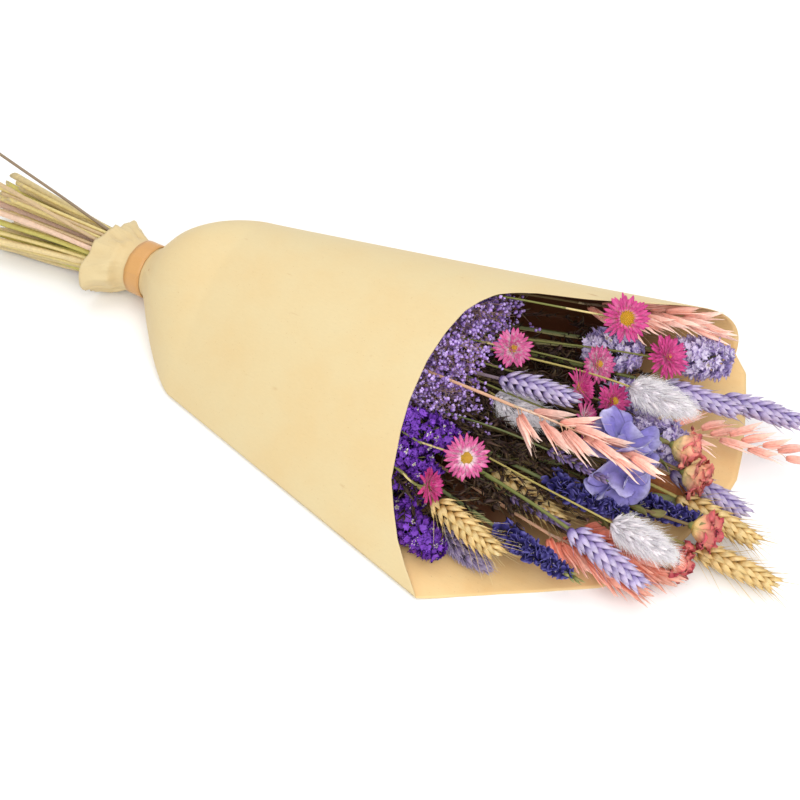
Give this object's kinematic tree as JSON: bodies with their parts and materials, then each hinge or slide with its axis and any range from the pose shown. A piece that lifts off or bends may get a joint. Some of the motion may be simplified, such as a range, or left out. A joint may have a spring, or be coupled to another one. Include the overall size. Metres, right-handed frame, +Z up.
{
  "type": "mixed dried flower bouquet in a paper sleeve",
  "caption": "Bouquet of dried wildflowers, grasses and grain ears lying down, its stems gathered at a taped neck in a cone of kraft paper.",
  "frame": {"origin": "middle of the bouquet's base, on the surface that it lies on", "axes": "+X from the cut stems to the flower heads, +Z up, +Y to the left of someone looking along +X"},
  "size_m": [0.628, 0.2764, 0.0956],
  "materials": {
    "kraft_paper": "smooth golden kraft paper with sparse dark fibres",
    "gummed_paper": "orange-brown gummed paper with a faint sheen",
    "twine": "matt jute twine",
    "statice_violet": "papery deep violet florets",
    "broom_bloom": "tiny dry purple buds on beige twigs",
    "daisy": "papery petals, white to magenta, with a yellow disc",
    "wheat_natural": "dry straw-gold ears",
    "wheat_lilac": "dry ears dyed pale lilac",
    "canary_grass": "dry grass head dyed lilac",
    "oat_blush": "dry oat spikelets dyed blush pink",
    "oat_coral": "dry oat spikelets dyed coral",
    "bunny_tail": "soft fluffy white to grey-lilac heads",
    "larkspur": "papery dark blue florets",
    "hydrangea": "dry petals, lavender blue",
    "rose": "crinkled dry petals, coral over cream",
    "statice_lilac": "papery pale lilac florets",
    "lavender_sprig": "fine dry mauve sprigs",
    "leaf": "dry curled leaves, sage green and orange brown"
  },
  "bodies": {
    "root": {"kraft_sleeve": "kraft_paper", "neck_band": "gummed_paper", "twine_tie": "twine", "statice_violet_1": "statice_violet", "statice_violet_2": "statice_violet", "statice_violet_3": "statice_violet", "statice_violet_4": "statice_violet", "broom_bloom_1": "broom_bloom", "broom_bloom_2": "broom_bloom", "broom_bloom_3": "broom_bloom", "broom_bloom_4": "broom_bloom", "broom_bloom_5": "broom_bloom", "daisy_1": "daisy", "daisy_2": "daisy", "daisy_3": "daisy", "daisy_4": "daisy", "daisy_5": "daisy", "daisy_6": "daisy", "daisy_7": "daisy", "daisy_8": "daisy", "daisy_9": "daisy", "wheat_natural_1": "wheat_natural", "wheat_natural_2": "wheat_natural", "wheat_natural_3": "wheat_natural", "wheat_natural_4": "wheat_natural", "wheat_lilac_1": "wheat_lilac", "wheat_lilac_2": "wheat_lilac", "wheat_lilac_3": "wheat_lilac", "wheat_lilac_4": "wheat_lilac", "wheat_lilac_5": "wheat_lilac", "canary_grass_1": "canary_grass", "oat_blush_1": "oat_blush", "oat_blush_2": "oat_blush", "oat_blush_3": "oat_blush", "oat_coral_1": "oat_coral", "oat_coral_2": "oat_coral", "bunny_tail_1": "bunny_tail", "bunny_tail_2": "bunny_tail", "bunny_tail_3": "bunny_tail", "larkspur_1": "larkspur", "larkspur_2": "larkspur", "larkspur_3": "larkspur", "hydrangea_1": "hydrangea", "rose_bud_1": "rose", "rose_bud_2": "rose", "rose_bud_3": "rose", "rose_bud_4": "rose", "statice_lilac_1": "statice_lilac", "statice_lilac_2": "statice_lilac", "statice_lilac_3": "statice_lilac", "statice_lilac_4": "statice_lilac", "lavender_sprig_1": "lavender_sprig", "lavender_sprig_2": "lavender_sprig", "leaf_spray_1": "leaf", "leaf_spray_2": "leaf"}
  },
  "joints": []
}
